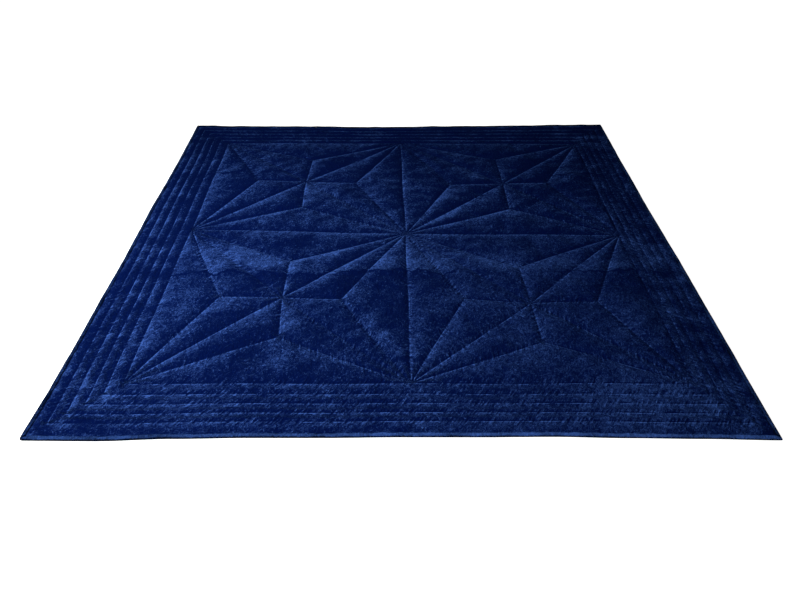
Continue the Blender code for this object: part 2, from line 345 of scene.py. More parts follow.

# Marks where the colour is paler or darker: partly pile pressed by hands and folding, partly painted
# highlight and shade, such as the bright band beyond the first old fold, the dark one before it and the
# bright rim along the right edge. The middle of each mark, half its length and width, any turn in degrees,
# and how much paler it makes the colour, or darker where it is negative. MARK_EDGE is how sharp each ends.
MARK_EDGE = 1.5
PILE_MARKS_AND_PAINTED_LIGHT = (
    {"x": -0.79, "y": -0.18, "long": 0.13, "wide": 0.07, "turn": -35, "shows": 0.28},
    {"x": -0.59, "y": -0.20, "long": 0.18, "wide": 0.06, "turn": -28, "shows": 0.60},
    {"x": -0.30, "y": -0.16, "long": 0.16, "wide": 0.04, "turn": 25, "shows": 0.30},
    {"x": -0.21, "y": -0.24, "long": 0.14, "wide": 0.03, "turn": 45, "shows": 0.26},
    {"x": -0.07, "y": -0.22, "long": 0.05, "wide": 0.06, "shows": 0.30},
    {"x": -0.82, "y": -0.47, "long": 0.07, "wide": 0.05, "turn": 20, "shows": 0.30},
    {"x": -0.79, "y": -0.56, "long": 0.05, "wide": 0.04, "shows": 0.34},
    {"x": -0.87, "y": -0.70, "long": 0.05, "wide": 0.04, "turn": 40, "shows": 0.30},
    {"x": -0.40, "y": -0.61, "long": 0.04, "wide": 0.06, "shows": 0.36},
    {"x": -0.42, "y": -0.75, "long": 0.03, "wide": 0.06, "shows": 0.28},
    {"x": -0.22, "y": -0.78, "long": 0.08, "wide": 0.03, "turn": -30, "shows": 0.34},
    {"x": -0.06, "y": -0.68, "long": 0.11, "wide": 0.03, "turn": -55, "shows": 0.28},
    {"x": -0.60, "y": -0.36, "long": 0.07, "wide": 0.05, "shows": -0.36},
    {"x": -0.48, "y": -0.31, "long": 0.05, "wide": 0.04, "shows": -0.34},
    {"x": -0.22, "y": -0.36, "long": 0.13, "wide": 0.05, "turn": 20, "shows": -0.36},
    {"x": -0.06, "y": -0.43, "long": 0.08, "wide": 0.12, "shows": -0.40},
    {"x": -0.47, "y": -0.07, "long": 0.17, "wide": 0.05, "shows": -0.32},
    {"x": -0.56, "y": -0.76, "long": 0.12, "wide": 0.06, "turn": 20, "shows": -0.20},
    {"x": -0.60, "y": 0.89, "long": 0.11, "wide": 0.05, "shows": 0.36},
    {"x": -0.42, "y": 0.40, "long": 0.06, "wide": 0.05, "shows": 0.36},
    {"x": -0.32, "y": 0.31, "long": 0.11, "wide": 0.04, "turn": -45, "shows": 0.28},
    {"x": -0.46, "y": 0.07, "long": 0.08, "wide": 0.06, "shows": 0.15},
    {"x": -0.65, "y": 0.11, "long": 0.12, "wide": 0.03, "turn": 15, "shows": -0.06},
    {"x": -0.10, "y": 0.32, "long": 0.05, "wide": 0.06, "shows": 0.20},
    {"x": -0.33, "y": 0.66, "long": 0.13, "wide": 0.06, "turn": 38, "shows": -0.40},
    {"x": -0.53, "y": 0.75, "long": 0.04, "wide": 0.10, "shows": -0.24},
    {"x": -0.05, "y": 0.80, "long": 0.06, "wide": 0.12, "shows": -0.28},
    {"x": -0.77, "y": 0.41, "long": 0.08, "wide": 0.05, "turn": 30, "shows": -0.30},
    {"x": 0.10, "y": -0.21, "long": 0.12, "wide": 0.08, "shows": 0.44},
    {"x": 0.15, "y": -0.03, "long": 0.08, "wide": 0.02, "shows": 0.36},
    {"x": 0.38, "y": -0.22, "long": 0.13, "wide": 0.05, "turn": -22, "shows": 0.42},
    {"x": 0.66, "y": -0.21, "long": 0.08, "wide": 0.04, "turn": 20, "shows": 0.34},
    {"x": 0.87, "y": -0.24, "long": 0.06, "wide": 0.04, "shows": 0.36},
    {"x": 0.25, "y": -0.70, "long": 0.09, "wide": 0.02, "turn": 45, "shows": 0.28},
    {"x": 0.45, "y": -0.07, "long": 0.12, "wide": 0.04, "shows": -0.30},
    {"x": 0.12, "y": -0.36, "long": 0.11, "wide": 0.05, "shows": -0.34},
    {"x": 0.84, "y": -0.39, "long": 0.12, "wide": 0.08, "shows": -0.34},
    {"x": 0.13, "y": 0.58, "long": 0.04, "wide": 0.06, "shows": 0.34},
    {"x": 0.35, "y": 0.53, "long": 0.07, "wide": 0.04, "turn": -40, "shows": 0.40},
    {"x": 0.42, "y": 0.92, "long": 0.12, "wide": 0.05, "shows": 0.24},
    {"x": 0.28, "y": 0.78, "long": 0.13, "wide": 0.03, "turn": -25, "shows": 0.30},
    {"x": 0.23, "y": 0.32, "long": 0.05, "wide": 0.06, "shows": 0.28},
    {"x": 0.25, "y": 0.18, "long": 0.15, "wide": 0.03, "turn": 42, "shows": 0.32},
    {"x": 0.50, "y": 0.17, "long": 0.07, "wide": 0.03, "shows": 0.38},
    {"x": 0.85, "y": 0.52, "long": 0.08, "wide": 0.03, "turn": 10, "shows": 0.24},
    {"x": 0.47, "y": 0.70, "long": 0.06, "wide": 0.04, "shows": -0.32},
    {"x": 0.67, "y": 0.25, "long": 0.12, "wide": 0.05, "turn": -20, "shows": -0.22},
    {"x": 0.50, "y": 0.60, "long": 0.45, "wide": 0.30, "shows": -0.08},
    {"x": -0.455, "y": 0.38, "long": 0.03, "wide": 0.06, "shows": 0.25},
    {"x": -0.10, "y": 0.68, "long": 0.10, "wide": 0.06, "shows": -0.20},
    {"x": 1.12, "y": -0.33, "long": 0.02, "wide": 0.14, "shows": 0.35},
    {"x": 1.12, "y": 0.10, "long": 0.02, "wide": 0.06, "shows": 0.30},
    {"x": 1.12, "y": 0.90, "long": 0.02, "wide": 0.15, "shows": 0.45},
    {"x": -0.25, "y": -0.68, "long": 0.28, "wide": 0.18, "shows": -0.10},
    {"x": -1.03, "y": -0.95, "long": 0.12, "wide": 0.20, "shows": 0.22},
    {"x": -1.03, "y": 0.15, "long": 0.12, "wide": 0.60, "shows": -0.14},
    {"x": 0.84, "y": -0.99, "long": 0.30, "wide": 0.13, "shows": 0.34},
    {"x": 0.08, "y": 0.72, "long": 0.14, "wide": 0.28, "shows": -0.26},
    {"x": 0.75, "y": 0.66, "long": 0.26, "wide": 0.16, "shows": -0.18},
    {"x": -0.80, "y": 0.03, "long": 0.11, "wide": 0.12, "shows": -0.16},
    {"x": -0.06, "y": 0.00, "long": 0.24, "wide": 0.16, "shows": 0.20},
    {"x": 0.50, "y": -0.25, "long": 0.48, "wide": 0.06, "shows": 0.13},
    {"x": -0.58, "y": -0.74, "long": 0.14, "wide": 0.18, "shows": -0.12},
    {"x": -0.30, "y": -1.04, "long": 0.22, "wide": 0.09, "shows": -0.12},
    {"x": 0.58, "y": 0.88, "long": 0.20, "wide": 0.12, "shows": -0.12},
    {"x": 0.74, "y": 0.36, "long": 0.14, "wide": 0.07, "shows": -0.25},
    {"x": -0.25, "y": -0.62, "long": 0.10, "wide": 0.07, "shows": -0.18},
    {"x": -0.30, "y": -0.86, "long": 0.22, "wide": 0.04, "shows": -0.15},
)


class Rectangle:
    """An upright rectangle in plan, by its left, right, near and far sides."""

    def __init__(self, left, right, near, far):
        self.left, self.right, self.near, self.far = left, right, near, far

    def inset(self, left, right, near, far):
        return Rectangle(self.left + left, self.right - right, self.near + near, self.far - far)

    def share_of(self, points):
        """How far along the rectangle each point lies, from 0 to 1 across and away."""
        return (
            (points[:, 0] - self.left) / (self.right - self.left),
            (points[:, 1] - self.near) / (self.far - self.near),
        )

    def at(self, across, away):
        return np.stack((
            self.left + across * (self.right - self.left),
            self.near + away * (self.far - self.near),
        ), -1)

    def corners(self):
        return [self.at(0, 0), self.at(1, 0), self.at(1, 1), self.at(0, 1)]

    def from_sides(self, points):
        """How far inside the rectangle each point lies, from each of its sides."""
        return {
            "left": points[:, 0] - self.left,
            "right": self.right - points[:, 0],
            "near": points[:, 1] - self.near,
            "far": self.far - points[:, 1],
        }

    def reach(self, points):
        """How far inside the rectangle each point lies, from its nearest side."""
        return np.minimum.reduce(list(self.from_sides(points).values()))


OUTLINE = Rectangle(-WIDTH / 2, WIDTH / 2, -LENGTH / 2, LENGTH / 2)
FIELD = OUTLINE.inset(**BORDER)


def around(depth):
    """The outline drawn in by one depth on all four sides."""
    return OUTLINE.inset(depth, depth, depth, depth)


BODY_EDGE = around(BINDING_CLOTH + GAP)
BINDING_SEAM = around(BINDING_WIDTH + GAP)
EDGE_BOTTOM = BINDING_CLOTH + GAP
EDGE_TOP = BINDING_HEIGHT - BINDING_CLOTH - GAP


def add_object(name, data):
    made = bpy.data.objects.new(name, data)
    bpy.context.scene.collection.objects.link(made)
    return made


# Where the sewing lies


def seam_drift(points):
    """How far the sewing has drifted at points of the plan, or at the nearest points of the field."""
    across, away = (np.clip(share, 0, 1) for share in FIELD.share_of(points))
    table = np.array([list(row.values()) for row in CROSSING_DRIFT.values()])
    shift = np.zeros_like(points)
    for axis in range(2):
        near, middle, far = (np.interp(across, (0, 0.5, 1), row) for row in table[:, :, axis])
        nearer = near + (middle - near) * away * 2
        farther = middle + (far - middle) * (away * 2 - 1)
        shift[:, axis] = np.where(away < 0.5, nearer, farther)
    return shift


def edge_inset(side, share):
    """How far an edge lies inside the square at shares of its length."""
    insets = 0.001 * np.array(EDGE_INSET[side])
    place = np.clip(share, 0, 1) * (len(insets) - 1)
    first = np.minimum(place.astype(int), len(insets) - 2)
    part = place - first
    smooth = part * part * (3 - 2 * part)
    return insets[first] + (insets[first + 1] - insets[first]) * smooth


def settle(points):
    """Moves points of the plan to where they lie on the finished quilt."""
    across, away = OUTLINE.share_of(points)
    reach = OUTLINE.from_sides(points)
    inward = {side: np.minimum(1, reach[side] / BORDER[side]) for side in BORDER}
    inmost = np.minimum.reduce(list(inward.values()))
    turn = 2 * math.pi / WANDER_LENGTH
    wander = np.sin(turn * points[:, 1::-1] + WANDER_STARTS)
    shift = (seam_drift(points) + WANDER * wander) * inmost[:, None]
    shift[:, 0] += edge_inset("left", away) * (1 - inward["left"])
    shift[:, 0] -= edge_inset("right", away) * (1 - inward["right"])
    shift[:, 1] += edge_inset("near", across) * (1 - inward["near"])
    shift[:, 1] -= edge_inset("far", across) * (1 - inward["far"])
    for (side, end), radius in CORNER_ROUND.items():
        into = np.stack((radius - reach[side], radius - reach[end]), 1)
        square = np.maximum(into.max(1), 0)
        share = 1 - square / np.maximum(np.linalg.norm(np.maximum(into, 0), axis=1), TINY)
        inside = (into > 0).all(1)
        shift += np.where(inside[:, None], into * share[:, None], 0) * (
            1 if side == "left" else -1, 1 if end == "near" else -1)
    return points + shift


def ring_seams(rectangle):
    corners = rectangle.corners()
    return list(zip(corners, corners[1:] + corners[:1]))


def star_seams(block, drift):
    """The seams inside one block as pairs of points in plan."""
    corners = block.corners()
    true_middle = block.at(0.5, 0.5)
    middle = true_middle + 0.001 * np.array(drift["middle"])
    seams = []
    for side, corner, following in zip(BINDING_ENDS, corners, corners[1:] + corners[:1]):
        point = true_middle + ((corner + following) / 2 - true_middle) * SHORT_POINT
        point = point + 0.001 * np.array(drift[side])
        seams += [(corner, middle), (middle, point), (corner, point), (following, point)]
    return seams


def sewn_seams():
    """Every seam of the quilt as pairs of points in plan: between blocks, inside them and round them."""
    seams = []
    for share in (0, 0.5):
        seams.append((FIELD.at(0.5, share), FIELD.at(0.5, share + 0.5)))
        seams.append((FIELD.at(share, 0.5), FIELD.at(share + 0.5, 0.5)))
    for away, row in ((0, "near"), (0.5, "far")):
        for across, column in ((0, "left"), (0.5, "right")):
            low = FIELD.at(across, away)
            high = FIELD.at(across + 0.5, away + 0.5)
            seams += star_seams(Rectangle(low[0], high[0], low[1], high[1]), STAR_DRIFT[row][column])
    for row in BORDER_SEAMS:
        seams += ring_seams(OUTLINE.inset(**row))
    return seams


SEWN = sewn_seams()
BOUND = ring_seams(BINDING_SEAM)


class SeamReach:
    """How points of the plan lie to the seams: nearest distance, place along it, and crowding by all.

    Each seam has a near or right side, which aside points to. A point has a positive offset there.
    """

    def __init__(self, points, seams):
        self.nearest = np.full(len(points), math.inf)
        self.along = np.zeros(len(points))
        self.offset = np.zeros(len(points))
        self.aside = np.zeros((len(points), 2))
        closeness = np.zeros(len(points))
        for number, (start, end) in enumerate(seams):
            run = end - start
            length = np.linalg.norm(run)
            along = np.clip((points - start) @ run / length, 0, length)
            distance = np.linalg.norm(points - start - along[:, None] * run / length, axis=1)
            closer = distance < self.nearest
            self.along[closer] = along[closer] + number
            self.nearest[closer] = distance[closer]
            aside = np.array((run[1], -run[0])) / length
            aside *= 1 if aside @ NEAR_OR_RIGHT > 0 else -1
            self.offset[closer] = (distance * np.sign((points - start) @ aside))[closer]
            self.aside[closer] = aside
            closeness += np.maximum(distance, SAME_POINT) ** -3
        # A soft least distance, which is smaller where seams crowd.
        self.crowded = closeness ** (-1 / 3)


def unevenness(points, wavelength, seed):
    """A smooth random field over the plan, of about this wavelength and with a spread of one."""
    draw = np.random.default_rng(seed)
    angle = draw.uniform(0, 2 * math.pi, WAVES)
    turn = 2 * math.pi / (wavelength * draw.uniform(*WAVE_LENGTHS, WAVES))
    phase = draw.uniform(0, 2 * math.pi, WAVES)
    x, y = points[:, :1], points[:, 1:2]
    return np.sin(x * np.cos(angle) * turn + y * np.sin(angle) * turn + phase).sum(1) * math.sqrt(2 / WAVES)


def layered(points, layers, base=0, draw=0):
    """A base value with layers of unevenness over it, each with another seed in every draw."""
    return sum((size * unevenness(points, length, seed + draw) for size, length, seed in layers), base)


def passed(values, between):
    """How far each value has come from the first of two to the second, from 0 to 1."""
    start, end = between
    return np.clip((values - start) / (end - start), 0, 1)


# The quilted body


def seam_points(seams):
    """Points along each seam with the edges that join them, and points in two rows beside it."""
    on_seam, edges, beside = [], [], []
    for start, end in seams:
        run = end - start
        length = np.linalg.norm(run)
        steps = max(2, round(float(length) / SEAM_STEP))
        edges += [(len(on_seam) + i, len(on_seam) + i + 1) for i in range(steps)]
        on_seam += [start + run * i / steps for i in range(steps + 1)]
        aside = np.array((-run[1], run[0])) / length * BESIDE_SEAM
        for i in range(steps):
            middle = start + run * (i + 0.5) / steps
            beside += [middle + aside, middle - aside]
    return on_seam, edges, np.array(beside)


def open_points():
    """Points spread over the whole plan in rows, each pushed a little out of line."""
    draw = np.random.default_rng(OPEN_SEED)
    rows = []
    row_step = OPEN_STEP * math.sqrt(0.75)
    for number, y in enumerate(np.arange(OUTLINE.near, OUTLINE.far, row_step)):
        x = np.arange(OUTLINE.left + number % 2 * OPEN_STEP / 2, OUTLINE.right, OPEN_STEP)
        push = draw.uniform(-OPEN_PUSH, OPEN_PUSH, (len(x), 2)) * OPEN_STEP
        rows.append(np.stack((x, np.full_like(x, y)), 1) + push)
    return np.concatenate(rows)


def painted_light_way(points):
    """The way from which the painted highlight and shade fall at points of the quilt."""
    share = passed(points[:, :1], PAINTED_LIGHT_BETWEEN)
    return (1 - share) * PAINTED_LIGHT_LEFT + share * PAINTED_LIGHT_RIGHT


def pile_clouds_and_painted_light(points):
    """How pale the colour is at points of the quilt, from the marks, some of them painted light, and loose
    clouds.
    """
    shows = layered(points, CLOUD_LAYERS)
    for mark in PILE_MARKS_AND_PAINTED_LIGHT:
        turn = math.radians(mark.get("turn", 0))
        x, y = points[:, 0] - mark["x"], points[:, 1] - mark["y"]
        lengthwise = (x * math.cos(turn) + y * math.sin(turn)) / mark["long"]
        crosswise = (y * math.cos(turn) - x * math.sin(turn)) / mark["wide"]
        shows += mark["shows"] * np.exp(-(lengthwise ** 2 + crosswise ** 2) ** MARK_EDGE)
    return shows


def read_vertices(mesh, name):
    values = np.zeros(len(mesh.vertices) * 3)
    mesh.vertices.foreach_get(name, values)
    return values.reshape(-1, 3)


def store(mesh, name, values):
    mesh.attributes.new(name, "FLOAT", "POINT").data.foreach_set("value", values)


def by_quarter(points, table):
    """A value from a table of the quilt's quarters, which blend."""
    rightward = passed(points[:, 0], QUARTERS_ACROSS)
    away = passed(points[:, 1], QUARTERS_AWAY)
    near, far = (left + (right - left) * rightward for left, right in table.values())
    return near + (far - near) * away


def pile_tone_and_painted_light(mesh):
    """How pale the colour is at each vertex, by its place and, as painted highlight and shade, by the
    cloth's slope.
    """
    points = read_vertices(mesh, "co")[:, :2]
    # Painted highlight and shade: paler where the cloth slopes towards the painted light, darker where it
    # slopes away.
    slope = (read_vertices(mesh, "normal")[:, :2] * painted_light_way(points)).sum(1)
    shows = SHOWN["cloth"] * by_quarter(points, PAINTED_SLOPE_LIGHT) * slope
    shows += SHOWN["tone_and_painted_light"] * pile_clouds_and_painted_light(points)
    clouds = layered(points, BORDER_LAYERS)
    inside = FIELD.from_sides(points)
    for side, border in BORDER_SHOWS.items():
        in_border = np.clip(0.5 - inside[side] / BORDER_BLEND, 0, 1)
        shows += (border["level"] + border["clouds"] * clouds) * in_border
    return shows


def seam_catches(points, reach):
    """How strongly the painted highlight and shade beside each seam show, by how the seam lies to their way.
    """
    uneven = layered(points, CATCH_LAYERS, CATCH_MEAN)
    return np.maximum(LEAST_CATCH, -(reach.aside * painted_light_way(points)).sum(1)) * np.maximum(0, uneven)


def average_round(mesh, values, passes):
    """Evens out values at the vertices of a mesh, each with those that its edges join to it."""
    ends = np.zeros(len(mesh.edges) * 2, dtype=int)
    mesh.edges.foreach_get("vertices", ends)
    ends = np.concatenate((ends.reshape(-1, 2), ends.reshape(-1, 2)[:, ::-1]))
    count = np.bincount(ends[:, 0], minlength=len(values))
    for _ in range(passes):
        sums = [np.bincount(ends[:, 0], values[ends[:, 1], axis], len(values)) for axis in range(3)]
        values = (values + np.stack(sums, 1) / count[:, None]) / 2
    return values


def crumple(body, held, distance):
    """Lets the top give way as cloth a little too long that is held at every stitch and lies on wadding."""
    mesh = body.data
    places = read_vertices(mesh, "co")
    body.vertex_groups.new(name="sewn").add(np.flatnonzero(held).tolist(), 1.0, "REPLACE")
    cloth = body.modifiers.new("crumples", "CLOTH")
    cloth.settings.quality = CRUMPLE_QUALITY
    cloth.settings.mass = CLOTH_MASS
    cloth.settings.vertex_group_mass = "sewn"
    cloth.settings.tension_stiffness = CLOTH_TENSION
    cloth.settings.compression_stiffness = CLOTH_TENSION
    cloth.settings.shear_stiffness = CLOTH_SHEAR
    cloth.settings.bending_stiffness = CLOTH_BENDING
    cloth.settings.use_pressure = True
    cloth.settings.uniform_pressure_force = WADDING_PUSH
    cloth.settings.shrink_min = -CLOTH_EASE
    cloth.settings.effector_weights.gravity = 0
    cloth.collision_settings.use_collision = False
    cloth.collision_settings.use_self_collision = False
    cloth.point_cache.frame_start = 1
    cloth.point_cache.frame_end = CRUMPLE_FRAMES
    for number in range(1, CRUMPLE_FRAMES + 1):
        bpy.context.scene.frame_set(number)
    bpy.ops.object.select_all(action="DESELECT")
    body.select_set(True)
    bpy.context.view_layer.objects.active = body
    bpy.ops.object.modifier_apply(modifier="crumples")
    bpy.context.scene.frame_set(1)

    moves = (read_vertices(mesh, "co") - places) * CRUMPLE_SHARE
    moves[held] = 0
    moves = average_round(mesh, moves, CRUMPLE_EVENED)
    size = np.linalg.norm(moves, axis=1)
    moves *= np.minimum(1, MOST_MOVE / np.maximum(size, TINY))[:, None]
    moves *= (1 - np.exp(-distance / HELD_NEAR))[:, None]
    moves[held] = 0
    mesh.vertices.foreach_set("co", (places + moves).ravel())
    mesh.update()


def old_folds(points):
    """How far the old folds lift the top, and the distance beyond the nearest crest with its sharpness."""
    lift = np.zeros(len(points))
    beyond = np.full(len(points), math.inf)
    strength = np.zeros(len(points))
    for crest in FOLD_CRESTS:
        table = {name: [place[name] for place in crest] for name in crest[0]}
        past = points[:, 1] - np.interp(points[:, 0], table["x"], table["y"])
        past += layered(points * (1, 0), CREST_WANDER) + layered(points, CREST_FRAY)
        height = np.interp(points[:, 0], table["x"], table["height"])
        slope = np.where(past > 0, np.exp(-past / SLOPE_BEYOND), np.exp(past / SLOPE_BEFORE))
        lift += height * slope
        closer = np.abs(past) < np.abs(beyond)
        beyond[closer] = past[closer]
        strength[closer] = np.interp(points[:, 0], table["x"], table["sharp"])[closer]
    return lift, np.clip(beyond, -FOLD_REACH, FOLD_REACH), strength


def top_height(points, reach):
    """The height of the top at points of the plan, from how they lie to the seams."""
    roll = 1 - np.exp(-reach.nearest / ROLL_SPREAD)
    swell = 1 - np.exp(-reach.crowded / SWELL_SPREAD)
    filling = layered(points, FILLING_LAYERS, 1)
    inside = FIELD.from_sides(points)
    nearest_side = np.argmin(list(inside.values()), axis=0)
    outside_field = FIELD.reach(points) < 0
    of_channels = np.array([CHANNEL_FILLING[side] for side in inside])[nearest_side]
    filling *= np.where(outside_field, of_channels, 1)
    height = SEWN_THICKNESS + LOFT * filling * (ROLL_SHARE * roll + (1 - ROLL_SHARE) * swell)
    height += layered(points, TOP_LAYERS) * roll
    return np.where(BINDING_SEAM.reach(points) < AT_BINDING, EDGE_TOP, height)


def grow(bm, edges, inner, outer, height):
    """Extrudes a ring of edges on one rectangle of the plan out to another, at a new height."""
    made = bmesh.ops.extrude_edge_only(bm, edges=edges)["geom"]
    fresh = {part for part in made if isinstance(part, bmesh.types.BMVert)}
    for vert in fresh:
        across, away = inner.share_of(np.array([vert.co[:2]]))
        vert.co = (*outer.at(across[0], away[0]), height)
    return [part for part in made if isinstance(part, bmesh.types.BMEdge) and fresh.issuperset(part.verts)]


def from_least(corners):
    """The same round of corners, begun at the least."""
    first = corners.index(min(corners))
    return corners[first:] + corners[:first]


def in_fixed_order(loose):
    """The same bmesh with its parts in order of place.

    bmesh's operators leave them in another order in each run, and the cloth simulation's sums go with it.
    """
    points = sorted(loose.verts, key=lambda vert: tuple(vert.co))
    for number, vert in enumerate(points):
        vert.index = number
    ordered = bmesh.new()
    verts = [ordered.verts.new(vert.co) for vert in points]
    for ends in sorted(sorted(vert.index for vert in edge.verts) for edge in loose.edges):
        ordered.edges.new([verts[end] for end in ends])
    for corners in sorted(from_least([vert.index for vert in face.verts]) for face in loose.faces):
        ordered.faces.new([verts[corner] for corner in corners])
    loose.free()
    return ordered


def make_body():
    """The filled body: its top triangulated between the seams, closed by its edge and a flat underside."""
    on_seam, edges, beside = seam_points(SEWN + BOUND)
    points = list(on_seam)
    for others, clear in ((beside, CLEAR_BESIDE), (open_points(), CLEAR_OPEN)):
        others = others[BINDING_SEAM.reach(others) > BESIDE_SEAM * CLEAR_BESIDE]
        points += list(others[SeamReach(others, SEWN + BOUND).nearest > BESIDE_SEAM * clear])
    divided = delaunay_2d_cdt([Vector(point) for point in points], edges, [], 0, SAME_POINT)
    plan = np.array([tuple(point) for point in divided[0]])
    heights = top_height(plan, SeamReach(plan, SEWN + BOUND))

    mesh = bpy.data.meshes.new("quilted_velvet")
    mesh.from_pydata(np.column_stack((plan, heights)).tolist(), [], divided[2])
    bm = bmesh.new()
    bm.from_mesh(mesh)
    ring = [edge for edge in bm.edges if edge.is_boundary]
    ring = grow(bm, ring, BINDING_SEAM, BODY_EDGE, EDGE_TOP)
    ring = grow(bm, ring, BODY_EDGE, BODY_EDGE, EDGE_BOTTOM)
    ring = grow(bm, ring, BODY_EDGE, BINDING_SEAM, EDGE_BOTTOM)
    ring = grow(bm, ring, BINDING_SEAM, BINDING_SEAM, 0.0)
    bmesh.ops.triangle_fill(bm, edges=ring, use_beauty=True, normal=(0, 0, -1))
    bmesh.ops.recalc_face_normals(bm, faces=bm.faces)
    bm = in_fixed_order(bm)
    bm.to_mesh(mesh)
    bm.free()
    mesh.shade_smooth()

    places = read_vertices(mesh, "co")
    reach = SeamReach(places[:, :2], SEWN)
    raised = places[:, 2] > SEWN_THICKNESS - GAP
    places[:, :2] = settle(places[:, :2])
    lift, beyond, strength = old_folds(places[:, :2])
    places[:, 2] += np.where(raised, lift, 0)
    mesh.vertices.foreach_set("co", places.ravel())
    mesh.update()
    body = add_object("quilted_velvet", mesh)
    crumple(body, ~raised | (reach.nearest < GAP), reach.nearest)
    mesh = body.data
    store(mesh, "seam_distance", reach.nearest)
    store(mesh, "seam_offset", reach.offset)
    store(mesh, "seam_catches", seam_catches(places[:, :2], reach))
    store(mesh, "seam_along", reach.along)
    store(mesh, "fold_beyond", beyond)
    store(mesh, "fold_strength", strength)
    # The colour's tone, with painted highlight and shade by the slope of the cloth.
    store(mesh, "pile_and_painted_light", pile_tone_and_painted_light(mesh))
    store(mesh, "grain", by_quarter(places, GRAIN_SHOWS))
    return body


# The binding


def binding_section(swell, hem):
    """The fold of the binding as depths in from the edge and heights, round the outside and back inside.

    Its top swells by a share and its upper hem lies off its true place.
    """
    steps = BINDING_ROUND_STEPS
    deep, high = BINDING_MIDDLE
    outside = []
    for i in range(steps + 1):
        angle = math.radians(270 - 180 * i / steps)
        lift = 1 + swell * i / steps
        outside.append((deep * (1 + math.cos(angle)), high * (1 + math.sin(angle)) * lift))
    top_inside = BINDING_HEIGHT - BINDING_CLOTH
    return [
        (BINDING_WIDTH, 0.0),
        *outside,
        (BINDING_CROWN[0] + hem, BINDING_CROWN[1] * (1 + swell)),
        (BINDING_WIDTH - HEM_SHOULDER[0] + hem, HEM_SHOULDER[1]),
        (BINDING_WIDTH + hem, HEM_HEIGHT),
        (BINDING_WIDTH + hem, top_inside),
        (BINDING_CLOTH, top_inside),
        (BINDING_CLOTH, BINDING_CLOTH),
        (BINDING_WIDTH, BINDING_CLOTH),
    ]


def make_binding(side):
    """One strip of the binding as a folded sheet, between two corners given as shares across and away."""
    start, end = (np.array(place, float) for place in BINDING_ENDS[side])
    bm = bmesh.new()
    steps = BINDING_LENGTH_STEPS
    trim = (end - start) * GAP
    along = np.linspace(0, 1, steps + 1)
    spread = np.column_stack((along, along)) * LENGTH
    number = list(BINDING_ENDS).index(side)
    swells = layered(spread, BINDING_SWELL, draw=number)
    hems = layered(spread, HEM_WANDER, draw=number)
    loops = []
    for i, share in enumerate(along):
        shift = trim * ((i == 0) - (i == steps))
        section = binding_section(swells[i], hems[i])
        plan = np.array([around(depth).at(*(start + (end - start) * share)) + shift for depth, _ in section])
        points = []
        for place, (_, height) in zip(settle(plan), section):
            points.append(bm.verts.new((*place, height)))
        loops.append([bm.edges.new(pair) for pair in zip(points, points[1:] + points[:1])])
    for ring, following in zip(loops, loops[1:]):
        bmesh.ops.bridge_loops(bm, edges=ring + following)
    for ring in (loops[0], loops[-1]):
        bmesh.ops.contextual_create(bm, geom=ring)
    bmesh.ops.recalc_face_normals(bm, faces=bm.faces)
    mesh = bpy.data.meshes.new(f"bound_{side}")
    bm.to_mesh(mesh)
    bm.free()
    mesh.shade_smooth()
    mesh.set_sharp_from_angle(angle=BINDING_SHARP)
    # Painted highlight and shade: paler where the strip faces up and to the right, darker below and outside.
    *shows, rightward = BINDING_PAINTED_LIGHT[side].values()
    shows = np.interp(read_vertices(mesh, "normal")[:, 2], BINDING_UPWARD, shows)
    places = read_vertices(mesh, "co")[:, :2]
    shows = shows + rightward * places[:, 0] + layered(places, BINDING_PILE, draw=number)
    store(mesh, "pile_and_painted_light", shows)
    store(mesh, "grain", np.full(len(places), BINDING_GRAIN))
    return add_object(f"bound_{side}", mesh)


# Materials


def linear(code):
    """An sRGB colour such as 1A2B3C as linear light."""
    shares = [int(code[i:i + 2], 16) / 255 for i in (0, 2, 4)]
    return (*(s / 12.92 if s <= 0.04045 else ((s + 0.055) / 1.055) ** 2.4 for s in shares), 1.0)


def add_node(tree, kind, links=None, **settings):
    """Adds a shader node, sets its properties, and sets or links its inputs by name or number.

    A node that is given for an input stands for its first output.
    """
    made = tree.nodes.new("ShaderNode" + kind)
    for name, value in settings.items():
        setattr(made, name, value)
    for name, value in (links or {}).items():
        if isinstance(value, bpy.types.Node):
            value = value.outputs[0]
        if isinstance(value, bpy.types.NodeSocket):
            tree.links.new(value, made.inputs[name])
        else:
            made.inputs[name].default_value = value
    return made


def seam_lines(tree, distance, offset):
    """The thin painted highlight line beside each seam, and the painted shade line on its other side.

    The signed offset changes sign halfway to the next seam too, and there it is less than the distance.
    """
    catches = add_node(tree, "Attribute", attribute_name="seam_catches").outputs["Fac"]
    size = add_node(tree, "Math", {0: offset}, operation="ABSOLUTE")
    excess = add_node(tree, "Math", {0: distance, 1: size}, operation="SUBTRACT")
    true = add_node(tree, "MapRange", {"Value": excess, "From Max": OTHER_SEAM, **FADES})
    strength = add_node(tree, "Math", {0: catches, 1: true}, operation="MULTIPLY")
    lines = {}
    for name, sewn in SEAM_LINES.items():
        away = add_node(tree, "Math", {0: offset, 1: sewn["place"]}, operation="SUBTRACT")
        away = add_node(tree, "Math", {0: away}, operation="ABSOLUTE")
        line = add_node(tree, "MapRange", {"Value": away, "From Max": sewn["wide"], **FADES},
                        interpolation_type="SMOOTHSTEP")
        lines[name] = add_node(tree, "Math", {0: line, 1: strength}, operation="MULTIPLY")
    return lines


